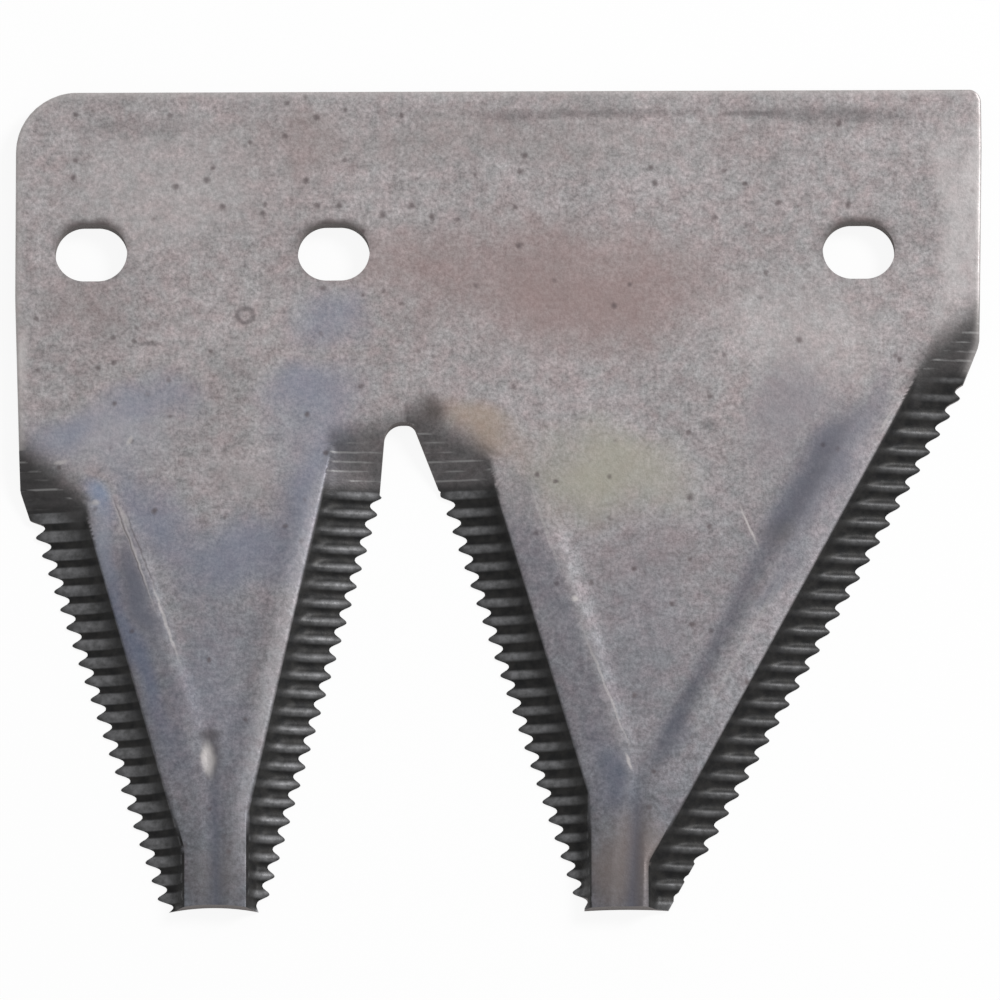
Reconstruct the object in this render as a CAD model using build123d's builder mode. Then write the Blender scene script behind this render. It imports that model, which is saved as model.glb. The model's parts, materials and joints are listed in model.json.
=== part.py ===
import os
from dataclasses import dataclass
from math import cos, radians, sin, sqrt, tan

from build123d import *

os.makedirs("parts", exist_ok=True)

# A double sickle section: one forged steel plate with two pointed teeth.
# It lies flat with its bevelled face up. X runs along the heel edge, Y from
# the tooth tips to the heel, Z up from the flat underside.
# The origin is under the middle of the overall outline.
# A height here is measured along Y from the line of the tooth tips.

# Overall plate
overall_width = 152.0
overall_height = 130.7
plate_thickness = 3.0
heel_round_radius = 9.6        # large corner of the heel, on the left
heel_corner_radius = 2.0       # small corner of the heel, on the right
rolled_edge_radius = 0.4       # softened upper edge round the heel
left_lean_from_heel = 33.35    # where the left side starts to lean in
left_side_height = 66.75       # where it meets its tooth
right_lean_from_heel = 9.35    # where the right side starts to lean in
right_side_height = 89.95      # where it meets its tooth
right_side_lean = 0.7          # how far it has leaned in there

# Bolt slots, long way along X
slot_width = 9.2
slot_length = 11.3
slot_from_heel = 26.0          # slot centres below the heel edge
slot_from_left = 11.9          # first slot centre from the left side
slot_pair_spacing = 38.1       # first to second slot
slot_from_right = 19.5         # third slot centre from the right side

# Gap between the two teeth
gullet_height = 77.35
gullet_left_x = -17.9
gullet_right_x = -13.6
gullet_left_radius = 2.6
gullet_right_radius = 1.0
gullet_left_foot_x = -18.85
gullet_left_foot_height = 66.15
gullet_right_foot_height = 66.95

# Serrated bevels
serration_pitch = 2.87
edge_thickness = 0.18          # at the points of the serrations
bevel_slope = 0.25             # rise for each millimetre inward from the edge
ridge_land = 0.35              # flat on top of each ridge
groove_radius = 0.35           # round in the bottom of each groove
last_groove_height = 0.5       # a groove is only cut higher than this
faint_groove_share = 0.3       # depth of the unfinished grooves, of a full one
bevel_wall_angle = 38.0        # steep inner wall of the bevel
point_place = 0.3              # of the uppermost point over its groove, as a share of the pitch
lead_place = 0.4               # the same where the gap's wall leads into its serrations
runout_angle = 20.0            # slope where a bevel fades out by the shoulder

# Raised ribs beside the bevels, meeting in a spine at each tip
rib_height = 0.45
rib_fade = 14.0                # length over which a rib rises out of the plate
rib_tip_fall = 0.05            # how much lower the spine is at the very tip
rib_start_height = 1.2         # lower end of a rib, clear of the hollow tips
spine_side_angle = 62.0
valley_half_width = 0.3        # of the groove left between two ribs on the spine
valley_height = 21.3           # where two ribs have closed up
left_valley_tip_x = -44.3
left_valley_top_x = -44.5
right_valley_tip_x = 20.2
right_valley_top_x = 21.6

# Dent in the upper face of the left tooth
dent_x = -45.6
dent_height = 23.8
dent_length = 7.4
dent_width = 2.2
dent_depth = 0.3
dent_side_angle = 60.0

# Ends of the teeth
left_tip_hollow = 0.7          # the end is slightly hollow
right_tip_hollow = 0.2
worn_points_height = 8.95      # below this the right flank's points are blunt
worn_point_depth = 1.0
worn_corner_depth = 0.9        # the inner corner of each tip is rubbed away

# Room that the cutting forms take past the outline
outer_overhang = 3.0
inner_overhang = 1.0           # inside the gap, clear of the other tooth
over_face = 12.0               # above the plate
through_slots = 1.0            # above and below, where the slots are punched

tip_y = -overall_height / 2
heel_y = overall_height / 2
left_x = -overall_width / 2
right_x = overall_width / 2


@dataclass
class Flank:
    """One serrated side of a tooth. inward is +1 where steel lies towards +X."""

    inward: int
    tip_x: float               # line through the serration points, at the tips
    angle: float               # of that line from the tooth's own axis
    groove_height: float       # of the first groove
    faint_grooves: int         # unfinished grooves above the first
    notch: float               # horizontal depth of a notch in the outline
    lean: float                # place of the point between two grooves
    shoulder_height: float     # upper end of the bevel's inner border
    shoulder_width: float      # horizontal width of the bevel there
    spine_height: float        # where the inner border meets the spine
    spine_x: float             # side of the spine
    runout_x: float            # where the fading end leaves the outline
    runout_height: float
    rib_tip_x: float           # crest of the rib at the tip
    rib_knee_x: float          # crest where the rib turns into the spine
    rib_knee_height: float
    rib_top_x: float           # crest where the rib starts
    rib_top_height: float
    rib_inner_width: float     # crest to the rib's inner foot
    overhang: float            # how far its cutting form reaches past the outline

    def edge_x(self, height):
        """Line through the points of the serrations."""
        return self.tip_x - self.inward * height * tan(radians(self.angle))

    def edge(self, height):
        return (self.edge_x(height), tip_y + height)

    def shoulder_x(self):
        return self.edge_x(self.shoulder_height) + self.inward * self.shoulder_width

    def border_x(self, height):
        """Inner border of the bevel at the height of the plate's face."""
        if height <= self.spine_height:
            return self.spine_x
        rise = (height - self.spine_height) / (self.shoulder_height - self.spine_height)
        return self.spine_x + rise * (self.shoulder_x() - self.spine_x)

    def crest_x(self, height):
        """Crest of the rib."""
        if height <= self.rib_knee_height:
            rise = height / self.rib_knee_height
            return self.rib_tip_x + rise * (self.rib_knee_x - self.rib_tip_x)
        rise = (height - self.rib_knee_height) / (self.rib_top_height - self.rib_knee_height)
        return self.rib_knee_x + rise * (self.rib_top_x - self.rib_knee_x)

    def groove(self, number):
        return self.groove_height - number * serration_pitch

    def groove_count(self):
        return int((self.groove_height - last_groove_height) / serration_pitch) + 1

    def worn_corner(self):
        """Corner of the tip, short of where the line through the points ends."""
        return (self.edge_x(0) + self.inward * worn_corner_depth, tip_y)

    def lowest_groove(self):
        return self.groove(self.groove_count() - 1)


left_outer = Flank(
    inward=1, tip_x=-52.74, angle=18.5,
    groove_height=61.13, faint_grooves=0, notch=1.97, lean=0.57,
    shoulder_height=63.45, shoulder_width=9.1, spine_height=9.7, spine_x=-49.3,
    runout_x=left_x, runout_height=72.75,
    rib_tip_x=-46.6, rib_knee_x=-46.6, rib_knee_height=25.7,
    rib_top_x=-60.2, rib_top_height=65.35, rib_inner_width=1.9, overhang=outer_overhang,
)
left_inner = Flank(
    inward=-1, tip_x=-36.84, angle=15.6,
    groove_height=64.63, faint_grooves=0, notch=1.53, lean=0.56,
    shoulder_height=73.55, shoulder_width=10.0, spine_height=15.7, spine_x=-39.6,
    runout_x=gullet_left_x + 0.3, runout_height=75.55,
    rib_tip_x=-41.7, rib_knee_x=-41.7, rib_knee_height=17.3,
    rib_top_x=-29.1, rib_top_height=71.35, rib_inner_width=2.8, overhang=inner_overhang,
)
right_inner = Flank(
    inward=1, tip_x=12.0, angle=17.9,
    groove_height=64.74, faint_grooves=2, notch=1.85, lean=0.56,
    shoulder_height=70.75, shoulder_width=9.1, spine_height=18.2, spine_x=13.9,
    runout_x=gullet_right_x + 0.2, runout_height=76.95,
    rib_tip_x=17.4, rib_knee_x=20.0, rib_knee_height=21.3,
    rib_top_x=5.5, rib_top_height=67.35, rib_inner_width=1.9, overhang=inner_overhang,
)
right_outer = Flank(
    inward=-1, tip_x=26.95, angle=29.1,
    groove_height=82.59, faint_grooves=0, notch=1.38, lean=0.44,
    shoulder_height=85.15, shoulder_width=8.75, spine_height=7.0, spine_x=22.9,
    runout_x=right_x, runout_height=93.95,
    rib_tip_x=21.9, rib_knee_x=22.3, rib_knee_height=16.5,
    rib_top_x=58.0, rib_top_height=81.35, rib_inner_width=3.6, overhang=outer_overhang,
)


def slot_centres():
    """Slot centres as (x, y), from left to right."""
    first = left_x + slot_from_left
    y = heel_y - slot_from_heel
    return [(first, y), (first + slot_pair_spacing, y), (right_x - slot_from_right, y)]


def upright_edges(part, x, y):
    """The vertical edge of the plate at one corner of its outline."""
    return part.edges().filter_by(Axis.Z).filter_by(
        lambda e: abs(e.center().X - x) < 0.01 and abs(e.center().Y - y) < 0.01
    )


def plate_blank():
    """Flat plate with both teeth and the slots, before the bevels are made."""
    first_notch = right_outer.groove_height + point_place * serration_pitch
    worn_top = worn_points_height - serration_pitch / 2
    right_corner = (right_outer.edge_x(0) - worn_point_depth / 2, tip_y)
    left_corner = left_inner.worn_corner()
    gap_corner = right_inner.worn_corner()
    left_middle = ((left_outer.tip_x + left_corner[0]) / 2, tip_y + left_tip_hollow)
    right_middle = ((gap_corner[0] + right_corner[0]) / 2, tip_y + right_tip_hollow)
    gullet_y = tip_y + gullet_height
    with BuildPart() as blank:
        with BuildSketch():
            with BuildLine():
                Polyline(
                    left_outer.edge(0),
                    left_outer.edge(left_side_height),
                    (left_x, heel_y - left_lean_from_heel),
                    (left_x, heel_y),
                    (right_x, heel_y),
                    (right_x, heel_y - right_lean_from_heel),
                    (right_x - right_side_lean, tip_y + right_side_height),
                    (right_outer.edge_x(first_notch) - right_outer.notch / 2, tip_y + first_notch),
                    right_outer.edge(right_outer.groove_height),
                    right_outer.edge(worn_points_height),
                    (right_outer.edge_x(worn_top) - worn_point_depth, tip_y + worn_top),
                    (right_outer.edge_x(serration_pitch) - worn_point_depth,
                     tip_y + serration_pitch),
                    right_corner,
                )
                ThreePointArc(right_corner, right_middle, gap_corner)
                Polyline(
                    gap_corner,
                    right_inner.edge(right_inner.lowest_groove()),
                    right_inner.edge(gullet_right_foot_height),
                    (gullet_right_x, gullet_y),
                    (gullet_left_x, gullet_y),
                    (gullet_left_foot_x, tip_y + gullet_left_foot_height),
                    left_inner.edge(left_inner.groove_height + lead_place * serration_pitch),
                    left_inner.edge(left_inner.lowest_groove()),
                    left_corner,
                )
                ThreePointArc(left_corner, left_middle, left_outer.edge(0))
            make_face()
        extrude(amount=plate_thickness)
        fillet(upright_edges(blank.part, left_x, heel_y), heel_round_radius)
        fillet(upright_edges(blank.part, right_x, heel_y), heel_corner_radius)
        fillet(upright_edges(blank.part, gullet_left_x, gullet_y), gullet_left_radius)
        fillet(upright_edges(blank.part, gullet_right_x, gullet_y), gullet_right_radius)
        rim = blank.edges().group_by(Axis.Z)[-1]
        fillet(rim.filter_by(lambda e: e.center().Y > tip_y + right_side_height),
               rolled_edge_radius)
        with BuildSketch(Plane.XY.offset(-through_slots)):
            with Locations(*slot_centres()):
                SlotOverall(slot_length, slot_width)
        extrude(amount=plate_thickness + 2 * through_slots, mode=Mode.SUBTRACT)
    return blank.part


def rib_section(flank, valley_x, height, rise):
    """Rib profile across one height: outer foot, crest, inner foot, buried base."""
    into = flank.inward
    outer = flank.border_x(height)
    crest = flank.crest_x(height)
    inner = crest + into * flank.rib_inner_width
    limit = valley_x - into * valley_half_width
    if height <= valley_height and into * (inner - limit) > 0:
        inner = limit
    base = plate_thickness / 2
    return [(outer, base), (outer, plate_thickness), (crest, plate_thickness + rise),
            (inner, plate_thickness), (inner, base)]


def rib(flank, valley_tip_x, valley_top_x):
    """One raised rib, from the shoulder down to the tip."""
    stations = [
        (flank.rib_top_height, rib_height / 10),
        (flank.rib_top_height - rib_fade, rib_height),
        (rib_start_height, rib_height - rib_tip_fall),
    ]
    for height in (valley_height, flank.rib_knee_height, flank.spine_height):
        if all(abs(height - other) > 0.01 for other, rise in stations):
            stations.append((height, rib_height))
    with BuildPart() as body:
        for height, rise in sorted(stations, reverse=True):
            valley_x = valley_tip_x + height / valley_height * (valley_top_x - valley_tip_x)
            across = Plane((0, tip_y + height, 0), x_dir=(1, 0, 0), z_dir=(0, -1, 0))
            with BuildSketch(across):
                Polygon(*rib_section(flank, valley_x, height, rise), align=None)
        loft(ruled=True)
    return body.part


def falling_plane(start, end, angle, into):
    """Plane through two points of the upper face, falling outward at an angle."""
    along = Vector(end[0] - start[0], end[1] - start[1], 0).normalized()
    outward = Vector(into * along.Y, -into * along.X, 0)
    normal = outward * sin(radians(angle)) + Vector(0, 0, cos(radians(angle)))
    return Plane((start[0], start[1], plate_thickness), x_dir=along, z_dir=normal)


def bevel_cutter(flank):
    """What is taken off along one flank, with the serrations on its underside.

    Its profile is seen along the grooves: one ridge and one groove after the
    other, following the slanting edge. It is pushed inward along the grooves
    and then ends at the bevel's wall, at the spine and at the run-out.
    """
    into = flank.inward
    stretch = sqrt(1 + bevel_slope ** 2)
    start_x = flank.edge_x(flank.runout_height) - into * flank.overhang
    across = Plane((start_x, 0, 0), x_dir=(0, 1, 0),
                   z_dir=(into / stretch, 0, bevel_slope / stretch))
    up = 1 if across.y_dir.Z > 0 else -1

    def level(x, z):
        return up * (z - bevel_slope * into * (x - start_x)) / stretch

    def ridge(height):
        return level(flank.edge_x(height), edge_thickness)

    def groove(height):
        return level(flank.edge_x(height) + into * flank.notch, 0)

    top = flank.runout_height + outer_overhang
    bottom = -outer_overhang
    points = [(tip_y + top, ridge(top))]
    bottoms = []
    for number in range(-flank.faint_grooves, flank.groove_count()):
        height = flank.groove(number)
        share = faint_groove_share if number < 0 else 1.0
        crest = height + (1 - flank.lean) * serration_pitch
        for step in (ridge_land / 2, -ridge_land / 2):
            points.append((tip_y + crest + step, ridge(crest + step)))
        lowest = (tip_y + height, ridge(height) + share * (groove(height) - ridge(height)))
        points.append(lowest)
        bottoms.append(lowest)
    roof = level(flank.edge_x(top), plate_thickness + over_face)
    points += [(tip_y + bottom, ridge(bottom)), (tip_y + bottom, roof), (tip_y + top, roof)]
    reach = abs(flank.edge_x(top) - flank.spine_x) + 2 * outer_overhang

    def in_a_groove(vertex):
        place = across.to_local_coords(vertex.center())
        return any(abs(place.X - y) < 0.01 and abs(place.Y - z) < 0.01 for y, z in bottoms)

    shoulder = (flank.shoulder_x(), tip_y + flank.shoulder_height)
    spine = (flank.spine_x, tip_y + flank.spine_height)
    runout = (flank.runout_x, tip_y + flank.runout_height)
    with BuildPart() as cutter:
        with BuildSketch(across) as profile:
            with BuildLine():
                Polyline(*points, close=True)
            make_face()
            fillet(profile.vertices().filter_by(in_a_groove), groove_radius)
        extrude(amount=reach * stretch)
        wall = falling_plane(shoulder, spine, bevel_wall_angle, into)
        split(bisect_by=wall, keep=Keep.TOP)
        spine_side = falling_plane(spine, (flank.spine_x, tip_y), spine_side_angle, into)
        split(bisect_by=spine_side, keep=Keep.TOP)
        fade = falling_plane(runout, shoulder, runout_angle, into)
        split(bisect_by=fade, keep=Keep.TOP)
    return cutter.part


def dent():
    """Small lengthwise dent, wider at the face than at its floor."""
    above = over_face / 2
    face = Plane((dent_x, tip_y + dent_height, plate_thickness + above))
    widening = above / tan(radians(dent_side_angle))
    with BuildPart() as hollow:
        with BuildSketch(face):
            SlotOverall(dent_length + 2 * widening, dent_width + 2 * widening, rotation=90)
        extrude(amount=-(above + dent_depth), taper=90 - dent_side_angle)
    return hollow.part


with BuildPart() as sickle_section:
    add(plate_blank())
    for side in (left_outer, left_inner):
        add(rib(side, left_valley_tip_x, left_valley_top_x))
    for side in (right_inner, right_outer):
        add(rib(side, right_valley_tip_x, right_valley_top_x))
    for side in (left_outer, left_inner, right_inner, right_outer):
        add(bevel_cutter(side), mode=Mode.SUBTRACT)
    add(dent(), mode=Mode.SUBTRACT)

sickle_section.part.label = "sickle_section"
export_step(sickle_section.part, "parts/sickle_section.step")
bounds = sickle_section.part.bounding_box()
print("solids", len(sickle_section.part.solids()), "volume", round(sickle_section.part.volume, 1))
print("low", bounds.min, "high", bounds.max)
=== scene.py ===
# %% [markdown]
# A forged sickle section
#
# The object is one steel plate, 152 mm wide and 3 mm thick, with two pointed teeth that
# are bevelled and serrated along both sides. It bolts to the knife of a mower through
# three slots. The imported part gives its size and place, but its creases are sharp and its
# grooves straight. This lesson builds the finely shaped skin that a camera should see in
# its stead, and its blackened steel.

import bpy
import json
import math
from types import SimpleNamespace

import numpy as np
from mathutils import Matrix, Vector


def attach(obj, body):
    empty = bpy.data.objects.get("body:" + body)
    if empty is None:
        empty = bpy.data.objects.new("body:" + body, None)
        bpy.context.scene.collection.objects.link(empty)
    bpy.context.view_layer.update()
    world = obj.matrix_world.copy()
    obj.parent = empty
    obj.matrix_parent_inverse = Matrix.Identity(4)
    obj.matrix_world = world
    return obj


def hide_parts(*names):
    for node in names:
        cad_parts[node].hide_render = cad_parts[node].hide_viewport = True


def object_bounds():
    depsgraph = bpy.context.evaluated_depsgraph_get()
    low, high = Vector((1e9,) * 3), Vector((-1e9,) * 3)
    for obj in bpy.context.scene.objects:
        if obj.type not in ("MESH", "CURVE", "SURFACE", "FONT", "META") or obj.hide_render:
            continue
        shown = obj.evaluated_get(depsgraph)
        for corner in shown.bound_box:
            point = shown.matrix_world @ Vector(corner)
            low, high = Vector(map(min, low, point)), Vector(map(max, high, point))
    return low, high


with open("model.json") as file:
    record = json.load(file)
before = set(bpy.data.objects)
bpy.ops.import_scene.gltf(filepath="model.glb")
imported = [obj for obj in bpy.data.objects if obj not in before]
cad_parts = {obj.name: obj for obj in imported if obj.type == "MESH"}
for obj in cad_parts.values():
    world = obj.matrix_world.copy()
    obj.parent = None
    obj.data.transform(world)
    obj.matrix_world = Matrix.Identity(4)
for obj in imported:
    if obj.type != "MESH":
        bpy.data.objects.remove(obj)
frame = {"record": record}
cad_low, cad_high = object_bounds()
print("CAD box", [round(v, 5) for v in cad_low], [round(v, 5) for v in cad_high])

# %% [markdown]
# The camera comes first, because everything else is judged through it. The photograph
# was taken from nearly above with a long lens, leaning 12 degrees towards the tips of the
# teeth, so that the walls of the slots just show. A plate that lies flat can't lean, so
# the camera does. A field of 156.5 mm fills the picture at a distance of 1.8 m.

# %% Camera
MM = 0.001
camera_distance = 1800 * MM
field_width = 156.5 * MM
sensor_width = 36.0            # Blender's own unit for a camera, millimetres of film
camera_tilt = math.radians(12.0)
camera_roll = math.radians(-0.2)
look_at = Vector((0.0, -0.25 * MM, 1.5 * MM))

camera_data = bpy.data.cameras.new("photo_camera")
camera_data.sensor_width = sensor_width
camera_data.lens = sensor_width * camera_distance / field_width
camera_data.clip_start = 0.1
camera_data.clip_end = 20.0
camera = bpy.data.objects.new("photo_camera", camera_data)
bpy.context.scene.collection.objects.link(camera)
turn = Matrix.Rotation(camera_tilt, 4, "X") @ Matrix.Rotation(camera_roll, 4, "Z")
back = Vector((0.0, -math.sin(camera_tilt), math.cos(camera_tilt)))
camera.matrix_world = Matrix.Translation(look_at + back * camera_distance) @ turn
bpy.context.scene.camera = camera
print("lens", round(camera_data.lens, 1), "mm")

# %% [markdown]
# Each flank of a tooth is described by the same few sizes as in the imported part: where
# the line through its points runs, how its bevel ends inward, and where the raised rib
# beside it has its crest. Heights are measured from the line of the tips. One small
# record per flank keeps the four of them comparable.

# %% Sizes of the plate, in millimetres and degrees
plate_left = cad_low[0] / MM
plate_right = cad_high[0] / MM
tip_y = cad_low[1] / MM
heel_height = (cad_high[1] - cad_low[1]) / MM
plate_thickness = 3.0
heel_from = 73.0               # above this height the edge is rolled
heel_round_radius = 9.6
heel_corner_radius = 2.0
rolled_edge_radius = 0.4

pitch = 2.87                   # of the serrations
knife_edge = 0.08              # steel left all along the cutting edge
bevel_slope = 0.25
wall_slope = math.tan(math.radians(38.0))
spine_slope = math.tan(math.radians(62.0))
runout_slope = math.tan(math.radians(20.0))
rib_fade = 14.0                # length over which a rib rises from the face
valley_half_width = 0.1
least_width = 0.3              # of a strip of the mesh, so that none closes up
print("plate", round(plate_right - plate_left, 2), "x", round(heel_height, 2), "mm")

# %% The four flanks
# Heights end in _h, and the line through the points leans by the angle in degrees.
left_outer = SimpleNamespace(
    into=1, tip_x=-52.74, angle=18.5, top_groove=61.13, faint=0, notch=1.97, lean=0.57,
    shoulder_h=63.45, shoulder_width=9.1, spine_h=9.7, spine_x=-49.3,
    runout=(plate_left, 72.75), rib_top=66.0, rise=0.28, inner_width=2.6)
left_inner = SimpleNamespace(
    into=-1, tip_x=-36.84, angle=15.6, top_groove=64.63, faint=0, notch=1.53, lean=0.56,
    shoulder_h=73.55, shoulder_width=10.0, spine_h=15.7, spine_x=-39.6,
    runout=(-17.6, 75.55), rib_top=73.0, rise=0.24, inner_width=2.8)
right_inner = SimpleNamespace(
    into=1, tip_x=12.0, angle=17.9, top_groove=64.74, faint=2, notch=1.85, lean=0.56,
    shoulder_h=70.75, shoulder_width=9.1, spine_h=18.2, spine_x=13.9,
    runout=(-13.4, 76.95), rib_top=69.0, rise=0.3, inner_width=2.6)
right_outer = SimpleNamespace(
    into=-1, tip_x=26.95, angle=29.1, top_groove=82.59, faint=0, notch=1.38, lean=0.44,
    shoulder_h=85.15, shoulder_width=8.75, spine_h=7.0, spine_x=22.9,
    runout=(plate_right, 93.95), rib_top=83.0, rise=0.43, inner_width=3.6)
flanks = (left_outer, left_inner, right_inner, right_outer)
print("flanks", len(flanks))

# %% Lines of the ribs
# Crest of each rib and the groove between two ribs, as (height, x) from the tip up.
left_outer.crest = ((0.0, -47.0), (20.0, -46.8), (33.3, -49.2), (66.0, -60.4))
left_inner.crest = ((0.0, -41.7), (17.3, -41.7), (73.0, -28.7))
right_inner.crest = ((0.0, 17.3), (12.0, 18.3), (21.3, 20.1), (49.3, 11.7), (70.0, 4.8))
right_outer.crest = ((0.0, 21.9), (10.0, 22.2), (18.5, 23.7), (30.0, 29.7), (83.0, 58.9))
left_valley = ((0.0, -44.3), (20.0, -44.5), (40.0, -44.5))
right_valley = ((0.0, 20.2), (18.5, 21.2), (40.0, 24.0))
spine_hollow = 0.45            # depth of the groove along a spine, as a share of the rib
spine_end = (20.0, 34.0)       # heights between which the groove opens into the pan

# %% [markdown]
# The four flanks weathered differently, because the crop and the fire met them from different
# sides, and as each faces the lamp its own way, their painted shade and highlights differ too.
# How strong each mark is on each flank is told here, from 0 for none to 1 for full. Above 1 the
# mark gets broader. The places of the marks follow further down.

# %% Marks of each flank
mark_names = ("dark_strip", "dark_foot", "bright_crest", "bright_rim", "smoke", "ridge_wear")
mark_strengths = (
    (0.45, 0.0, 0.0, 0.0, 0.93, 1.6),
    (0.0, 0.25, 0.1, 0.4, 0.7, 0.9),
    (0.4, 0.0, 0.15, 0.0, 0.75, 1.0),
    (0.0, 0.75, 0.0, 0.0, 0.92, 0.64),
)
for flank, strengths in zip(flanks, mark_strengths):
    vars(flank).update(zip(mark_names, strengths))
print("marks", mark_names)

# %% Grooves of each flank
for flank in flanks:
    flank.valley = left_valley if flank.tip_x < 0 else right_valley
    flank.grooves = int((flank.top_groove - 0.5) / pitch) + 1
    flank.first_groove = flank.top_groove - (flank.grooves - 1) * pitch
    flank.up = (1 - flank.lean) * pitch
    flank.down = flank.lean * pitch
    print("grooves", flank.grooves, "lowest at", round(flank.first_groove, 2), "mm")


# %% [markdown]
# Everything on a flank is measured from three lines: the one through the points of the
# serrations, the inner border of the bevel and the wave of the grooves. They could be
# curves in the scene, but as formulas they can be asked anywhere on the plate at once.

# %% Lines that a flank follows
def smooth(x, low, high):
    """0 below low, 1 above high and a soft step between them."""
    t = np.clip((x - low) / (high - low), 0, 1)
    return t * t * (3 - 2 * t)


def edge_x(flank, h):
    """Line through the points of the serrations."""
    return flank.tip_x - flank.into * h * math.tan(math.radians(flank.angle))


for flank in flanks:
    flank.shoulder_x = edge_x(flank, flank.shoulder_h) + flank.into * flank.shoulder_width
print("shoulders at", [round(flank.shoulder_x, 1) for flank in flanks])


def border_x(flank, h):
    """Inner border of the bevel, from the spine over the shoulder to the run-out."""
    heights = (0.0, flank.spine_h, flank.shoulder_h, flank.runout[1])
    places = (flank.spine_x, flank.spine_x, flank.shoulder_x, flank.runout[0])
    return np.interp(h, heights, places)


# %% Wave of the grooves
faint_depth = 0.3              # of the last, faint grooves, as a share of a real one


def groove_shape(flank, h, sharpness):
    """1 in the bottom of a groove and 0 on a ridge, which is narrower where it is sharper."""
    number = np.floor((h - flank.first_groove + flank.down) / pitch)
    away = h - (flank.first_groove + number * pitch)
    share = np.clip(np.where(away > 0, away / flank.up, -away / flank.down), 0, 1)
    shape = 0.5 + 0.5 * np.cos(math.pi * share ** sharpness)
    faint = (number >= flank.grooves) & (number < flank.grooves + flank.faint)
    real = (number >= 0) & (number < flank.grooves)
    return np.where(real, shape, np.where(faint, faint_depth * shape, 0.0))


edge_sharpness = 1.15          # of the ridges, where 1 is a plain wave
deepening = 0.05               # the grooves get deeper inward, as a share per millimetre
deepening_end = 9              # millimetres inward where that stops


def groove_depth(flank, x, h):
    inward = np.clip(flank.into * (x - edge_x(flank, h)), 0, deepening_end)
    at_edge = flank.notch * bevel_slope * groove_shape(flank, h, edge_sharpness)
    return at_edge * (1 + deepening * inward)


print("grooves", [round(flank.notch * bevel_slope, 2) for flank in flanks], "mm deep")


# %% [markdown]
# The outline is found row by row. In a notch the sloping floor of the groove reaches the
# underside, and that alone makes the zigzag edge: the deeper the groove, the further in
# the floor runs out. Above the serrations the outline is the plain side of the plate, and
# between the teeth it is the wall of the gap, with its two rounded corners.

# %% Outline of the plate, row by row
gap_top = 77.35
gap_left_x = -17.9
gap_left_radius = 2.6
gap_left_foot = (-18.85, 66.15)
gap_right_x = -13.6
gap_right_radius = 1.0
gap_right_foot_h = 66.95
worn_points_h = 8.95
worn_point_depth = 1.0
worn_corner_depth = 0.9        # the inner corner of each tip is rubbed away


def corner(h, start, radius):
    """How far a rounded corner has turned in at height h."""
    rise = np.clip(h - start, 0, radius)
    return radius - np.sqrt(radius ** 2 - rise ** 2)


def notch_inset(flank, h):
    return flank.into * flank.notch * groove_shape(flank, h, edge_sharpness)


left_foot_h, left_side_top = 66.75, 97.35
right_side_turn, right_side_top = 89.95, 121.35
right_side_lean = 0.7


def left_side(h):
    foot_x = edge_x(left_outer, left_foot_h)
    side = np.interp(h, (left_foot_h, left_side_top), (foot_x, plate_left))
    x = np.where(h < left_foot_h, edge_x(left_outer, h) + notch_inset(left_outer, h), side)
    return x + corner(h, heel_height - heel_round_radius, heel_round_radius)


def right_side(h):
    foot_h = right_outer.top_groove + 0.3 * pitch
    foot_x = edge_x(right_outer, foot_h) - right_outer.notch / 2
    side = np.interp(h, (foot_h, right_side_turn, right_side_top),
                     (foot_x, plate_right - right_side_lean, plate_right))
    worn = worn_point_depth * np.clip((worn_points_h - h) / (0.5 * pitch), 0, 1)
    cut = np.minimum(notch_inset(right_outer, h), -worn)
    x = np.where(h < foot_h, edge_x(right_outer, h) + cut, side)
    return x - corner(h, heel_height - heel_corner_radius, heel_corner_radius)


def worn_corner(flank, h):
    """How far the inner corner of a tip has been rubbed away."""
    return flank.into * worn_corner_depth * (1 - smooth(h, 0.0, flank.first_groove))


# %% Walls of the gap
def gap_left_side(h):
    wall = np.interp(h, (gap_left_foot[1], gap_top), (gap_left_foot[0], gap_left_x))
    shoulder = left_inner.top_groove + 0.4 * pitch
    lead = np.interp(h, (shoulder, gap_left_foot[1]),
                     (edge_x(left_inner, shoulder), gap_left_foot[0]))
    x = np.where(h < gap_left_foot[1], lead, wall)
    x = np.where(h < shoulder, edge_x(left_inner, h) + notch_inset(left_inner, h), x)
    x = x + worn_corner(left_inner, h)
    return x + corner(h, gap_top - gap_left_radius, gap_left_radius)


def gap_right_side(h):
    foot_x = edge_x(right_inner, gap_right_foot_h)
    wall = np.interp(h, (gap_right_foot_h, gap_top), (foot_x, gap_right_x))
    x = np.where(h < gap_right_foot_h, edge_x(right_inner, h) + notch_inset(right_inner, h), wall)
    x = x + worn_corner(right_inner, h)
    return x - corner(h, gap_top - gap_right_radius, gap_right_radius)


print("gap at half height", round(float(gap_right_side(40.0) - gap_left_side(40.0)), 1), "mm wide")


# %% [markdown]
# The skin is a grid of rows and columns. A grid could be evenly spaced, but grooves this
# small would then need millions of faces. Here the rows lie in the bottoms and on the
# crests of the grooves, and the columns run along the outline, the foot and the top of
# each bevel and the crest of each rib, so that every visible line has a line of the mesh.

# %% Rows, from the tips to the heel
station_up = (0.0, 0.2, 0.4, 0.58, 0.73, 0.87)
station_down = (1.0, 0.87, 0.73, 0.58, 0.4, 0.2)
tip_rows = 6
pitches = right_outer.grooves
fine_rows_end = 97.0           # below it the rows are near each other for the gap's corners
fine_row, coarse_row = 0.85, 1.6
rim_rows = (0.4, 0.26, 0.14, 0.05, 0.0)  # below the heel's edge, where it is rolled
corner_step = 8                # degrees between the rows of the heel's corner


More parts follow.
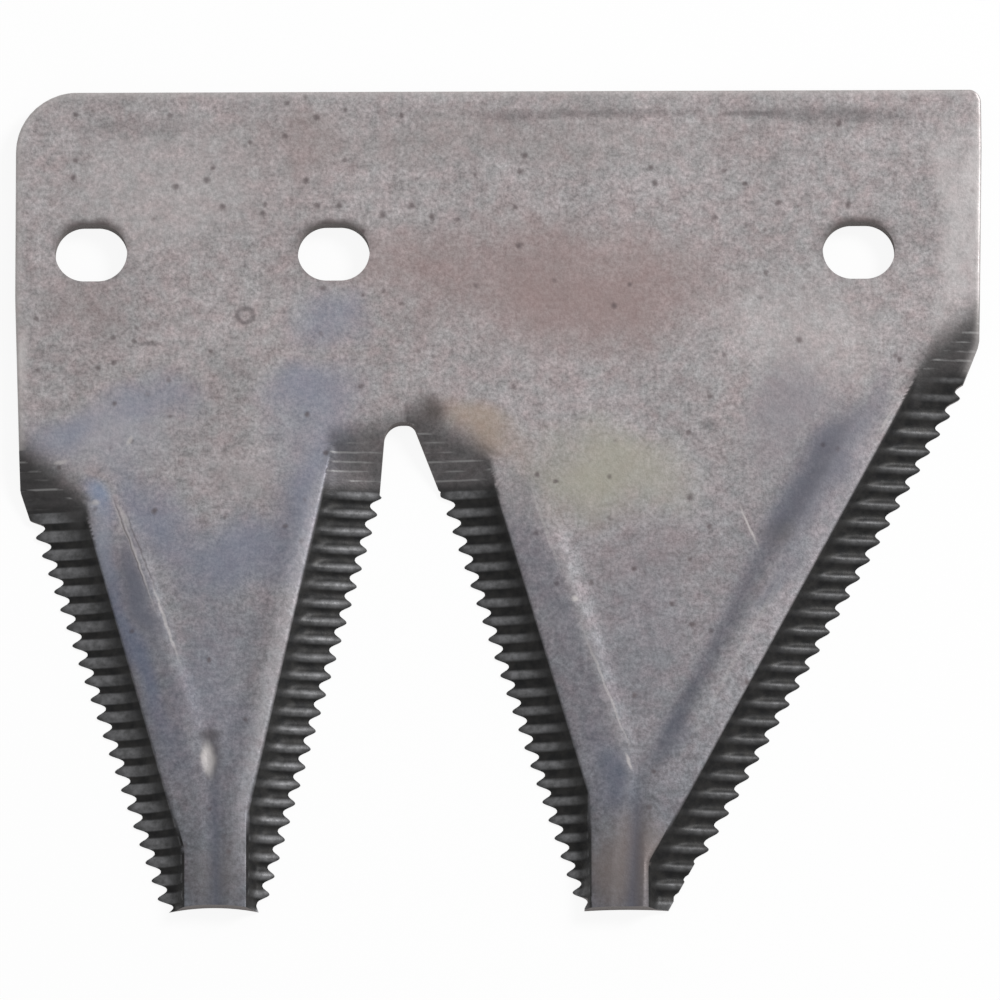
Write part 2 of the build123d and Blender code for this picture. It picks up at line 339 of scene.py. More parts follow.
def flank_rows(flank):
    """Heights of all rows at one flank."""
    rows = [flank.first_groove * i / tip_rows for i in range(tip_rows)]
    for number in range(pitches):
        bottom = flank.first_groove + number * pitch
        rows += [bottom + share * flank.up for share in station_up]
        rows += [bottom + pitch - share * flank.down for share in station_down]
    top = right_outer.first_groove + pitches * pitch
    rows += list(np.arange(top + 0.6, fine_rows_end, fine_row))
    rows += list(np.arange(fine_rows_end + 1, heel_height - heel_round_radius - 0.5, coarse_row))
    corner_turns = np.radians(np.arange(0, 80, corner_step))
    rows += list(heel_height - heel_round_radius * (1 - np.sin(corner_turns)))
    rows += [heel_height - below for below in rim_rows]
    return np.array(rows)


row_heights = [flank_rows(flank) for flank in flanks]
row_count = len(row_heights[0])
gap_row = int(np.argmin(abs(row_heights[2] - gap_top)))
print("rows", row_count, "the gap ends at row", gap_row)

# The rows next to the gap crowd together where its corners turn.
gap_heights = row_heights[2].copy()
turn_rows = 12
for i in range(turn_rows + 1):
    angle = math.radians(90 * i / turn_rows)
    gap_heights[gap_row - turn_rows + i] = gap_top - gap_left_radius * (1 - math.sin(angle))

# %% Columns, from the outline of a flank inward
bevel_shares = (0.12, 0.24, 0.37, 0.5, 0.63, 0.75, 0.86, 0.94, 1.0)
wall_shares = (0.25, 0.5, 0.75, 1.0)
rib_shares = (0.06, 0.14, 0.3, 0.55, 0.8, 0.93, 1.0)
inner_shares = (0.15, 0.4, 0.7, 1.0)
rim_offsets = (0.0, 0.1, 0.22, 0.4)
column_groups = (rim_offsets, bevel_shares, wall_shares, rib_shares, inner_shares)
flank_columns = sum(len(group) for group in column_groups)
pan_shares = (0.03, 0.09, 0.18, 0.3, 0.43, 0.57, 0.7, 0.82, 0.91, 0.97)
narrowest_column = 0.02
print("columns per flank", flank_columns)


def rib_lines(flank, h):
    """Crest and inner foot of a rib."""
    crest = np.interp(h, *zip(*flank.crest))
    limit = np.interp(h, *zip(*flank.valley)) - flank.into * valley_half_width
    inner = crest + flank.into * flank.inner_width
    lower = h < 0.6 * flank.rib_top  # there the two ribs of a tooth come near each other
    return crest, np.where(lower & (flank.into * (inner - limit) > 0), limit, inner)


# %% Columns of one flank
def flank_x(flank, outline, middle, h):
    """Places of a flank's columns at the heights h: one row of the answer per height."""
    into = flank.into
    border = border_x(flank, h)
    reach = np.maximum(into * (border - outline), least_width)
    rise = bevel_slope * into * (border - edge_x(flank, h)) + knife_edge
    wall = np.clip((plate_thickness - rise) / (wall_slope - bevel_slope), 0.4, 0.5 * reach)
    crest, inner = rib_lines(flank, h)
    foot = border - into * wall
    start = outline + into * rim_offsets[-1]
    columns = [outline + into * offset for offset in rim_offsets]
    columns += [start + (foot - start) * share for share in bevel_shares]
    columns += [foot + (border - foot) * share for share in wall_shares]
    columns += [border + (crest - border) * share for share in rib_shares]
    columns += [crest + (inner - crest) * share for share in inner_shares]
    shaped = np.array(columns).T
    # Above the run-out there is no bevel to follow, and the columns spread out evenly.
    total = 0.4 * abs(middle - outline) + 4.0
    inner_columns = flank_columns - len(rim_offsets)
    order = np.arange(1, inner_columns + 1) / inner_columns
    spread = 0.4 * order + 0.6 * order ** 2
    plain = [outline + into * offset for offset in rim_offsets]
    plain += [start + into * total * share for share in spread]
    plain = np.array(plain).T
    blend = smooth(h, flank.shoulder_h - 1.0, flank.runout[1] + 2.0)[:, None]
    return shaped + blend * (plain - shaped)


# %% Places of all grid points
def tooth_grid(outer, inner, outer_side, inner_side, outer_rows, inner_rows, open_rows):
    """x and height of every grid point of one tooth and the plate above it."""
    left_edge = outer_side(outer_rows)
    right_edge = inner_side(np.minimum(inner_rows, gap_top) if open_rows == "right" else inner_rows)
    if open_rows == "left":
        left_edge = outer_side(np.minimum(outer_rows, gap_top))
    middle = (left_edge + right_edge) / 2
    left = flank_x(outer, left_edge, middle, outer_rows)
    right = flank_x(inner, right_edge, middle, inner_rows)[:, ::-1]
    shares = np.array(pan_shares)
    pan = left[:, -1:] + (right[:, :1] - left[:, -1:]) * shares
    x = np.hstack((left, pan, right))
    spacing = narrowest_column * np.arange(x.shape[1])
    x = np.maximum.accumulate(x - spacing, axis=1) + spacing
    x[:, 1:-1] = np.minimum(x[:, 1:-1], (x[:, -1:] - spacing[::-1])[:, 1:-1])
    across = np.concatenate((np.zeros(flank_columns), shares, np.ones(flank_columns)))
    h = outer_rows[:, None] + (inner_rows - outer_rows)[:, None] * across
    return x, h


left_x, left_h = tooth_grid(left_outer, left_inner, left_side, gap_left_side,
                            row_heights[0], gap_heights, "right")
right_x, right_h = tooth_grid(right_inner, right_outer, gap_right_side, right_side,
                              gap_heights, row_heights[3], "left")
grid_x = np.hstack((left_x, right_x))
grid_h = np.hstack((left_h, right_h))
column_count = grid_x.shape[1]
gap_column = left_x.shape[1] - 1
left_part = np.arange(column_count) <= gap_column
backward = int((np.diff(grid_x, axis=1) < 0).sum()), int((np.diff(grid_h, axis=0) < 0).sum())
print("columns", column_count, "steps back", backward)

# The ends of the teeth are slightly hollow.
hollow_height = 4              # above it nothing is lifted
for columns, depth in ((left_part, 0.7), (~left_part, 0.2)):
    ends = grid_x[0, columns]
    across = 2 * (grid_x[:, columns] - ends[0]) / (ends[-1] - ends[0]) - 1
    near_end = np.clip(1 - grid_h[:, columns] / hollow_height, 0, 1)
    grid_h[:, columns] += depth * np.clip(1 - across ** 2, 0, 1) * near_end


# %% [markdown]
# The height of each point follows from how the section was forged. The die raised a rib
# beside each bevel and left a shallow pan between the ribs. The bevel itself is a sloping
# floor with grooves, a steep wall behind it and a soft run-out at its upper end: of these
# surfaces the highest one stays, and of that and the plate's face the lowest. Soft
# versions of highest and lowest round the creases as a worn die does.

# %% Soft creases
crease_in_bevel, crease_at_runout = 0.5, 0.6  # widths over which a crease is rounded


def soft_max(a, b, width):
    near = np.maximum(width - abs(a - b), 0) / width
    return np.maximum(a, b) + near ** 2 * width / 4


def soft_min(a, b, width):
    return -soft_max(-a, -b, width)


def falling(x, h, start, end, slope, into):
    """Plane through two points of the face that falls outward."""
    run = math.hypot(end[0] - start[0], end[1] - start[1])
    along = ((end[0] - start[0]) / run, (end[1] - start[1]) / run)
    outward = into * ((x - start[0]) * along[1] - (h - start[1]) * along[0])
    return plate_thickness - slope * outward


# %% Height of a bevel
def bevel_height(flank, x, h, grooved):
    """Floor, wall and run-out of one bevel, and the share of the run-out."""
    inward = flank.into * (x - edge_x(flank, h))
    floor = knife_edge + bevel_slope * inward
    if grooved:
        floor = floor - groove_depth(flank, x, h)
    shoulder = (flank.shoulder_x, flank.shoulder_h)
    spine = (flank.spine_x, flank.spine_h)
    wall = falling(x, h, shoulder, spine, wall_slope, flank.into)
    side = falling(x, h, spine, (flank.spine_x, 0.0), spine_slope, flank.into)
    fade = falling(x, h, flank.runout, shoulder, runout_slope, flank.into)
    bevel = soft_max(floor, soft_max(wall, side, crease_in_bevel), crease_in_bevel)
    return soft_max(bevel, fade, crease_at_runout), smooth(fade - bevel, -0.2, 0.2)


# %% Height of the ribs
def rib_shape(left, right, x, h):
    """How far the forged ribs of one tooth stand above the plate, in millimetres."""
    shoulder, level, rises = 1.0, 0.0, []
    for flank in (left, right):
        crest, foot = rib_lines(flank, h)
        border = border_x(flank, h)
        outside = flank.into * (x - border) / np.maximum(flank.into * (crest - border), least_width)
        inside = flank.into * (x - crest) / np.maximum(flank.into * (foot - crest), least_width)
        shoulder = np.minimum(shoulder, np.sin(math.pi / 2 * np.clip(outside, 0, 1)))
        level = np.maximum(level, 0.5 + 0.5 * np.cos(math.pi * np.clip(inside, 0, 1)))
        rises.append(flank.rise * smooth(flank.rib_top - h, 0.0, rib_fade))
    depth = spine_hollow + (1 - spine_hollow) * smooth(h, *spine_end)
    left_crest, right_crest = rib_lines(left, h)[0], rib_lines(right, h)[0]
    across = np.clip((x - left_crest) / np.maximum(right_crest - left_crest, least_width), 0, 1)
    return (rises[0] + (rises[1] - rises[0]) * across) * shoulder * (1 - depth * (1 - level))


# %% Height of the upper face
far_above = 99.0               # where there is no bevel
top = np.full(grid_x.shape, plate_thickness)
cut = np.full(grid_x.shape, far_above)
plain_cut = np.full(grid_x.shape, far_above)
fading = np.zeros(grid_x.shape)
teeth = ((left_outer, left_inner, left_part), (right_inner, right_outer, ~left_part))
for left, right, columns in teeth:
    x, h = grid_x[:, columns], grid_h[:, columns]
    top[:, columns] += rib_shape(left, right, x, h)
    for flank in (left, right):
        cut[:, columns] = np.minimum(cut[:, columns], bevel_height(flank, x, h, True)[0])
        plain, share = bevel_height(flank, x, h, False)
        fading[:, columns] = np.where(plain < plain_cut[:, columns], share, fading[:, columns])
        plain_cut[:, columns] = np.minimum(plain_cut[:, columns], plain)
print("ribs up to", round(float(top.max()), 2), "mm")

# %% [markdown]
# Two things were done to the plate afterwards: a blow dented the left tooth where its
# ribs meet, and the heel's edge was rolled smooth. Both change the height a little, and so
# they are worked into the same field of heights, before it becomes a mesh.

# %% The dent and the rolled edge
# A blow has dented the left tooth where its ribs meet.
dent_x, dent_h = -45.4, 23.4
dent_half_width, dent_half_length = 1.3, 3.9
dent_depth = 0.25
across_dent, along_dent = (grid_x - dent_x) / dent_half_width, (grid_h - dent_h) / dent_half_length
top -= dent_depth * np.clip(1 - across_dent ** 2 - along_dent ** 2, 0, 1) ** 1.5
crease = 0.25 + 0.75 * fading  # how softly a bevel breaks from the face
grid_z = soft_min(top, cut, crease)
plain_z = soft_min(np.full(top.shape, plate_thickness), plain_cut, crease)

# The heel's edge is rolled.
to_side = np.minimum(grid_x - grid_x[:, :1], grid_x[:, -1:] - grid_x)
round_x = plate_left + heel_round_radius
round_h = heel_height - heel_round_radius
in_corner = (grid_x < round_x) & (grid_h > round_h)
to_round = heel_round_radius - np.hypot(grid_x - round_x, grid_h - round_h)
to_rim = np.minimum(to_side, heel_height - grid_h)
to_rim = np.where(in_corner, np.maximum(to_round, 0), to_rim)
roll = corner(rolled_edge_radius - to_rim, 0.0, rolled_edge_radius)
grid_z = grid_z - np.where(grid_h > heel_from, roll, 0.0)
grid_z = np.clip(grid_z, knife_edge, None)
print("face from", round(float(grid_z.min()), 3), "to", round(float(grid_z.max()), 3), "mm")

# %% [markdown]
# The skin could be drawn face by face, but an even grid of the right number of rows and
# columns is already there as a primitive. It is added once, and each of its points is then
# moved to its place. What the material has to know later, such as where the ridges are, is
# kept on the same points.

# %% Grid primitive, drawn to its places
def nothing_selected():
    if bpy.context.object and bpy.context.object.mode != "OBJECT":
        bpy.ops.object.mode_set(mode="OBJECT")
    bpy.ops.object.select_all(action="DESELECT")


nothing_selected()
bpy.ops.mesh.primitive_grid_add(
    x_subdivisions=column_count - 1, y_subdivisions=row_count - 1, size=1)
section = bpy.context.object
section.name = "forged_section"
start = np.zeros(len(section.data.vertices) * 3)
section.data.vertices.foreach_get("co", start)
start = start.reshape(-1, 3)
column = np.rint((start[:, 0] + 0.5) * (column_count - 1)).astype(int)
row = np.rint((start[:, 1] + 0.5) * (row_count - 1)).astype(int)
places = np.stack((grid_x[row, column], grid_h[row, column] + tip_y, grid_z[row, column]), axis=1)
section.data.vertices.foreach_set("co", (places * MM).ravel())
print("points of the skin", len(start))


# %% [markdown]
# Heat, the cutter and the crop left their marks along the lines of each flank: black in
# the bevel and bright wear on what stands proud. Painted shade darkens each run-out and the
# slopes that face away from the lamp, and painted highlights lie on those that face it. They could
# be placed by coordinates in the material, but each flank bends its own way. Kept on the points as
# values from 0 to 1, they follow the forms exactly.

# %% Values kept on the points
def keep_on_points(name, values):
    """Keeps one value per grid point on the mesh, for the material."""
    layer = section.data.attributes.new(name, "FLOAT", "POINT")
    layer.data.foreach_set("value", values[row, column].ravel().astype(np.float32))


def line(distance, width):
    """1 on a line and softly 0 at about twice its width from it."""
    return np.exp(-(distance / width) ** 2)


mask_names = ("ridge", "along_bevel", "hollow", "rubbed", "runout_shading", "calm")
masks = {name: np.zeros(grid_x.shape) for name in mask_names}
print("masks", mask_names)

# %% Painted shade and calm steel at the run-out of a bevel
shade_starts, shade_full = -5.0, 0.6     # millimetres past the line where it begins
wall_sharpness = 4                       # the painted shade ends that much sooner over the wall
last_ridge = (0.0, 1.4)                  # heights above the top groove, each from 0 to 1
calm_above = (1.4, 3.8)
runout_end = (0.0, 2.0)                  # above the run-out's upper corner
shade_on_face, shade_on_wall = (-4.0, 0.0), (-8.0, -3.0)  # above the shoulder


def runout_masks(flank, x, h, outside):
    """Painted shade of the run-out, and how calm the bevel is above its grooves."""
    above = h - flank.top_groove
    below_runout = 1 - smooth(h - flank.runout[1], *runout_end)
    shoulder, spine = (flank.shoulder_x, flank.shoulder_h), (flank.spine_x, flank.spine_h)
    past_fade = plate_thickness - falling(x, h, flank.runout, shoulder, 1.0, flank.into)
    past_wall = plate_thickness - falling(x, h, shoulder, spine, 1.0, flank.into)
    past = np.minimum(past_fade, wall_sharpness * past_wall)
    up_here = h - flank.shoulder_h
    on_face, on_wall = smooth(up_here, *shade_on_face), smooth(up_here, *shade_on_wall)
    # painted shade on the run-out, whose slope faces away from the lamp, and on the bevel above its
    # last groove
    smoke = smooth(past, shade_starts, shade_full) * np.where(past_wall > 0, on_wall, on_face)
    over_grooves = smooth(above, *last_ridge) * below_runout * outside
    return np.maximum(smoke, over_grooves), smooth(above, *calm_above) * below_runout


# %% Painted shade and bright lines beside a rib
strip_edge = (0.75, 1.0)       # share of the way from the border to the crest
strip_from = (14, 30)          # heights between which each mark grows to its full strength
foot_from = (18, 30)
rim_from = (4, 18)
crest_width, rim_width = 0.55, 0.9


def rib_masks(flank, x, h, border):
    """Painted shade beside the rib of one flank, and its bright lines: worn crests and painted
    highlights.
    """
    crest = rib_lines(flank, h)[0]
    past_border, past_crest = flank.into * (x - border), flank.into * (x - crest)
    fade = smooth(flank.rib_top - h, -2.0, rib_fade)
    across = past_border / np.maximum(flank.into * (crest - border), least_width)
    strip = (1 - smooth(across, *strip_edge)) * smooth(h, *strip_from)
    trough = 2.3 + 1.5 * smooth(h, 30, 80)  # the foot of the rib is wider further up
    foot = line(past_crest - trough, 0.7 * trough) * smooth(h, *foot_from)
    rim = line(past_border - rim_width, rim_width) * smooth(h, *rim_from)
    # painted shade: the strip outside the crest and the trough inside it face away from the lamp
    hollow = flank.dark_strip * strip + flank.dark_foot * foot
    # bright lines: a worn crest with painted highlight, and a painted highlight on the lit slope by
    # the border
    rubbed = flank.bright_crest * line(past_crest, crest_width) + flank.bright_rim * rim
    return hollow * fade, rubbed * fade


# %% All masks, tooth by tooth
ridge_end = (1.5, 2.5)         # above the top groove
groove_dark, groove_width, groove_end = 0.75, 1.1, (14, 27)  # painted shade in the groove along a spine
for left, right, columns in teeth:
    x, h = grid_x[:, columns], grid_h[:, columns]
    tooth = {name: mask[:, columns] for name, mask in masks.items()}
    for flank in (left, right):
        border = border_x(flank, h)
        outside = flank.into * (border - x) > 0
        smoke, calm = runout_masks(flank, x, h, outside)
        hollow, rubbed = rib_masks(flank, x, h, border)
        # rubbed ridges of the bevel, which carry a painted highlight
        ridge = flank.ridge_wear * (1 - groove_shape(flank, h, 1.0))
        ridge = ridge * (1 - smooth(h - flank.top_groove, *ridge_end))
        width = np.maximum(flank.into * (border - edge_x(flank, h)), 1)
        inward = flank.into * (x - edge_x(flank, h)) / width
        for name, values in (("ridge", ridge), ("calm", calm), ("along_bevel", inward)):
            tooth[name] = np.where(outside, values, tooth[name])
        tooth["runout_shading"] = np.maximum(tooth["runout_shading"], flank.smoke * smoke)
        tooth["hollow"] += hollow
        tooth["rubbed"] += rubbed
    valley = np.interp(h, *zip(*left.valley))
    groove = line(x - valley, groove_width) * (1 - smooth(h, *groove_end))
    tooth["hollow"] += groove_dark * groove
    for name, mask in masks.items():
        mask[:, columns] = tooth[name]

# %% Keep the masks on the points
for name, mask in masks.items():
    keep_on_points(name, np.clip(mask, 0, 1))
    print(name, "mean", round(float(np.clip(mask, 0, 1).mean()), 3))
fallen = plate_thickness - plain_z
breaking = 0.15 + 0.85 * smooth(grid_h, 8, 24)  # the scale comes nearer to the face at the tips
on_bevel = smooth(fallen / breaking, 0.05, 0.28)
on_runout = smooth(fallen, 0.02, 1.6)
keep_on_points("below_face", (1 - fading) * on_bevel + fading * on_runout)
rubbed_rim = 0.8                # width of the paler band along the heel's edge
keep_on_points("rim", np.where(grid_h > heel_from, line(to_rim, rubbed_rim), 0.0))

# %% [markdown]
# The two teeth are still joined by a web, because a grid has no gap. Deleting the faces
# between them opens it. A Solidify modifier would thicken the skin evenly, but the plate's
# underside is flat, so the open border is extruded down, pressed flat and filled.

# %% Cut the gap open and give the plate its thickness
corners = np.zeros(len(section.data.loops), int)
section.data.loops.foreach_get("vertex_index", corners)
corners = corners.reshape(-1, 4)
first, last = column[corners].min(axis=1), column[corners].max(axis=1)
in_gap = (first == gap_column) & (last == gap_column + 1)
in_gap &= row[corners].max(axis=1) <= gap_row
section.data.polygons.foreach_set("select", in_gap)
bpy.context.tool_settings.mesh_select_mode = (False, False, True)
bpy.ops.object.mode_set(mode="EDIT")
bpy.ops.mesh.delete(type="FACE")
bpy.ops.mesh.select_mode(type="EDGE")
bpy.ops.mesh.select_all(action="DESELECT")
bpy.ops.mesh.select_non_manifold()
bpy.ops.mesh.extrude_region_move(
    TRANSFORM_OT_translate={"value": (0, 0, -plate_thickness * MM)})
bpy.ops.transform.resize(value=(1, 1, 0), center_override=(0, 0, 0))
bpy.ops.mesh.fill(use_beauty=False)
bpy.ops.mesh.select_all(action="SELECT")
bpy.ops.mesh.normals_make_consistent(inside=False)
bpy.ops.object.mode_set(mode="OBJECT")
print("faces", len(section.data.polygons))

# %% [markdown]
# The slots are punched through the finished plate. They could be holes in the grid, but a
# hole that crosses rows and columns would disturb the grooves. So each is made as the
# real one is: a round punch, split down the middle and drawn out to the length of the
# slot, is taken away from the plate with a Boolean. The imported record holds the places.

# %% Places of the slots
slot_places = {}
for mount in frame["record"]["mounts"]:
    if mount["kind"] != "bolt_pattern":
        continue
    sizes = mount["dims"]
    for side in (-1, 1):
        x = mount["pos_m"][0] + side * sizes["spacing_x_mm"] * MM / 2
        slot_places[round(x, 5)] = (mount["pos_m"][1], sizes["hole_r_mm"], sizes["slot_length_mm"])
print("slots at", [round(x / MM, 2) for x in sorted(slot_places)])

# %% Punch the three slots
punch_sides = 72
punch_depth = 10 * MM
punch_turn = math.radians(2.5)  # half a side, so that no corner is on the split
for x, (y, hole_radius, slot_length) in sorted(slot_places.items()):
    nothing_selected()
    bpy.ops.mesh.primitive_cylinder_add(
        vertices=punch_sides, radius=hole_radius * MM, depth=punch_depth,
        location=(x, y, 0), rotation=(0, 0, punch_turn))
    punch = bpy.context.object
    bpy.ops.object.transform_apply(location=True, rotation=True, scale=True)
    bpy.ops.object.mode_set(mode="EDIT")
    for side in (-1, 1):
        bpy.ops.mesh.select_all(action="DESELECT")
        bpy.ops.object.mode_set(mode="OBJECT")
        for vertex in punch.data.vertices:
            vertex.select = side * (vertex.co.x - x) > 0
        bpy.ops.object.mode_set(mode="EDIT")
        bpy.ops.mesh.select_mode(type="VERT")
        stretch = side * (slot_length / 2 - hole_radius) * MM
        bpy.ops.transform.translate(value=(stretch, 0, 0))
    bpy.ops.object.mode_set(mode="OBJECT")
    nothing_selected()
    section.select_set(True)
    bpy.context.view_layer.objects.active = section
    hole = section.modifiers.new("slot", "BOOLEAN")
    hole.operation = "DIFFERENCE"
    hole.solver = "EXACT"
    hole.object = punch
    bpy.ops.object.modifier_apply(modifier=hole.name)
    bpy.data.objects.remove(punch)
print("faces with the slots", len(section.data.polygons))

# %% Smooth shading and the frame
bpy.ops.object.shade_smooth_by_angle(angle=math.radians(35))
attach(section, "root")
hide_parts("sickle_section")


# %% [markdown]
# The section is spring steel, forged hot, hardened and never painted. Such steel keeps a
# thin skin of scale, which the eye sees as a dull, dark metal: brown-grey, cloudy over
# centimetres and grainy like fine sandpaper close up. A scan would show that at once, but
# noise of the right sizes stays sharp from near and covers the plate on all sides. It is
# one material, as it is one piece, and the marks are laid over each other as they came.

# %% Helpers for materials
def linear(hex_colour):
    """sRGB hex colour as linear red, green, blue and alpha."""
    parts = [int(hex_colour[i:i + 2], 16) / 255 for i in (1, 3, 5)]
    parts = [c / 12.92 if c <= 0.04045 else ((c + 0.055) / 1.055) ** 2.4 for c in parts]
    return tuple(parts) + (1.0,)


def node(tree, kind, inputs=None, **settings):
    """Adds a node, sets it up and links or fills its inputs by name or number."""
    new = tree.nodes.new("ShaderNode" + kind)
    for name, value in settings.items():
        setattr(new, name, value)
    for name, value in (inputs or {}).items():
        if isinstance(value, bpy.types.NodeSocket):
            tree.links.new(value, new.inputs[name])
        else:
            new.inputs[name].default_value = value
    return new


def material(name):
    made = bpy.data.materials.new(name)
    made.use_nodes = True
    made.node_tree.nodes.clear()
    return made, made.node_tree


steel, tree = material("forged_steel_scale")
place = node(tree, "TexCoord").outputs["Object"]
flat_place = node(tree, "VectorMath", {0: place, 1: (1, 1, 0)}, operation="MULTIPLY").outputs[0]
height_up = node(tree, "SeparateXYZ", {0: place}).outputs["Y"]
print("steel", linear("#9f9899"))


# %% Layers of a finish
def grain(size_mm, detail=3.0, roughness=0.55, spread=0.15):
    """Cloudy pattern from 0 to 1 with spots of about the given size."""
    cloud = node(tree, "TexNoise", {"Vector": place, "Scale": 1000 / size_mm,
                                    "Detail": detail, "Roughness": roughness})
    return node(tree, "MapRange", {"Value": cloud.outputs["Fac"], "From Min": 0.5 - spread,
                                   "From Max": 0.5 + spread}).outputs[0]


def lay(colour, new, mask, full=1.0, start=0.0, end=1.0, step="LINEAR"):
    """Lays a new colour over the old one, from nothing where the mask is start to full at end."""
    share = node(tree, "MapRange", {"Value": mask, "From Min": start, "From Max": end,
                                    "To Max": full}, interpolation_type=step).outputs[0]
    return node(tree, "Mix", {"Factor": share, 6: colour, 7: new}, data_type="RGBA").outputs[2]


def shade(colour, mask, at_zero, at_one):
    """Makes a colour darker or lighter along a mask."""
    amount = node(tree, "MapRange", {"Value": mask, "To Min": at_zero, "To Max": at_one}).outputs[0]
    return node(tree, "VectorMath", {0: colour, "Scale": amount}, operation="SCALE").outputs[0]


# %% Grain and clouds of the scale
# The clouds are 17 mm wide, as the die left them, with patches of 2.7 to 6 mm. The grit of
# real scale is finer than 0.1 mm and wouldn't show, so it is drawn at 0.6 and 1.7 mm.
patchy = grain(4.0, 3, 0.6)
speckle = grain(0.6, 2, 0.7, 0.2)
colour = lay(linear("#9f9899"), linear("#b5adae"), grain(17, 2))
colour = lay(colour, linear("#8f8787"), patchy, 0.6)
colour = lay(colour, linear("#ab9898"), grain(6.0, 2), 0.35)
colour = lay(colour, linear("#9ca2a2"), grain(2.7, 2), 0.35)
colour = shade(colour, grain(1.7, 2, 0.6, 0.2), 0.84, 1.17)
colour = shade(colour, speckle, 0.72, 1.3)
print("nodes of the plain scale", len(tree.nodes))


# %% [markdown]
# Steel that is heated and cooled unevenly takes faint colours, the thinner the oxide the
# paler: straw, then russet, then blue. On this section they are soft patches of 10 to
# 60 mm. One large noise could scatter them, but the photograph shows where each one is,
# so they are a table of ovals, whose outlines a slow noise pushes about. The same table holds
# painted shade: the ovals in shadow and in #8f8a90.

# %% Heat tints and painted shade
def wobble(size_mm, amount_mm):
    """The place on the plate, pushed about so that what is drawn on it has an uneven edge."""
    push = node(tree, "TexNoise", {"Vector": flat_place, "Scale": 1000 / size_mm,
                                   "Detail": 1.0}).outputs["Color"]
    push = node(tree, "VectorMath", {0: push, 1: (0.5, 0.5, 0.5)}, operation="SUBTRACT").outputs[0]
    push = node(tree, "VectorMath", {0: push, "Scale": 2 * amount_mm * MM},
                operation="SCALE").outputs[0]
    push = node(tree, "VectorMath", {0: push, 1: (1, 1, 0)}, operation="MULTIPLY").outputs[0]
    return node(tree, "VectorMath", {0: flat_place, 1: push}, operation="ADD").outputs[0]


def oval(where, x, y, length, width, turn):
    """0 in the middle of an oval at x, y and 1 at its rim, with its half sizes in millimetres."""
    if turn:
        where = node(tree, "VectorRotate", {"Vector": where, "Center": (x * MM, y * MM, 0),
                                            "Angle": -math.radians(turn)},
                     rotation_type="Z_AXIS").outputs[0]
    seen = node(tree, "VectorMath", {0: where, 1: (1 / (length * MM), 1 / (width * MM), 0),
                                     2: (-x / length, -y / width, 0)},
                operation="MULTIPLY_ADD").outputs[0]
    return node(tree, "VectorMath", {0: seen}, operation="LENGTH").outputs["Value"]


blue, straw, russet, pale = "#82889b", "#b1ad9b", "#967f7c", "#d2cdcc"
orange, shadow, mist = "#a8937f", "#777781", "#a3a4ae"
# The ovals in shadow and in #8f8a90 are painted shade, most of them on rib slopes and troughs that
# face away from the lamp.
# Middle x and y, half length, half width, turn in degrees, colour, strength.
tints = (
    (0, 57.5, 62, 6.5, 0, "#8f8784", 0.25), (-14, 39, 18, 8, 0, russet, 0.4),
    (12, 33.5, 34, 15, 0, russet, 0.7), (-52, 50, 26, 14, 0, pale, 0.22),
    (-66, 32, 9, 7, 0, russet, 0.25), (-30, 56, 7, 8, 0, russet, 0.3),
    (-61, 11, 17, 9, 10, mist, 0.5), (-68, 11, 8, 5, 30, blue, 0.5),
    (-56, 16, 12, 5, 0, blue, 0.45), (-28.5, 17, 11, 8, 0, blue, 0.6),
    (-26.6, 30, 9, 8, 0, blue, 0.5), (-29, 3, 16, 7, 62, blue, 0.6),
    (-54, -2, 14, 7, -55, blue, 0.6), (-41, -9, 15, 8, 10, blue, 0.6),
    (-45, -30, 26, 9, 90, blue, 0.3), (-40, 3, 8, 5, 0, "#a49b9a", 0.4),
    (47, 27, 18, 14, 0, pale, 0.25), (16, 3, 19, 11, 0, straw, 0.7),
    (-3, 10.9, 10, 5, -25, orange, 0.6), (-11, 12.6, 5.5, 4.0, -20, "#4b423e", 0.8),
    (25, -10, 14, 9, 0, russet, 0.22), (22, -24, 24, 12, 90, shadow, 0.25),
    (52, 5, 27, 5.5, 59.5, shadow, 0.75), (53, 1, 26, 11, 60, shadow, 0.3),
    (40.7, -12.8, 7, 3, 60, shadow, 0.4), (46, 14, 14, 9, 60, "#8f8a90", 0.65),
    (6, -12, 26, 4, 109, shadow, 0.25), (-57.5, -23, 28, 4, 108, "#6b7896", 0.5),
    (71.5, 44, 24, 5, 90, pale, 0.45), (74.6, 47, 22, 1.6, 90, pale, 0.5),
    (20, -59, 12, 9, 90, "#b29c90", 0.75), (-44, -60, 9, 9, 90, "#a8988f", 0.4),
    (-55.5, -14, 15, 3.6, 109, shadow, 0.8), (-31, 11, 9, 8, 0, blue, 0.35),
    (16.4, -44.5, 10, 5, 105, "#6c7386", 0.55), (26.6, -38.4, 8, 3, 60, shadow, 0.45),
    (-74.2, 22, 9, 1.5, 90, pale, 0.5), (-63, -8, 9, 3, 108, "#aeb4c0", 0.4),
    (-63.9, -0.5, 5.5, 3.5, 120, "#8497b4", 0.6),
)
tint_softness = 0.9
drifting = wobble(12, 5.5)
for x, y, length, width, turn, tint, strength in tints:
    away = oval(drifting, x, y, length, width, turn)
    colour = lay(colour, linear(tint), away, strength, 1.0, 1.0 - tint_softness, "SMOOTHSTEP")
print("heat tints", len(tints))

# %% [markdown]
# The steel is darker and bluer towards the tips of the teeth. A colour ramp along the teeth
# says that in one node, where a row of ovals would show.

# %% Darker and bluer towards the tips
tip_ramp_low, tip_ramp_high = -66.0, 26.0
darkening_range = 0.3                # fall in brightness that brings the whole change of hue
darkening_hue = (-0.03, 0.02, 0.08)  # that change in red, green and blue
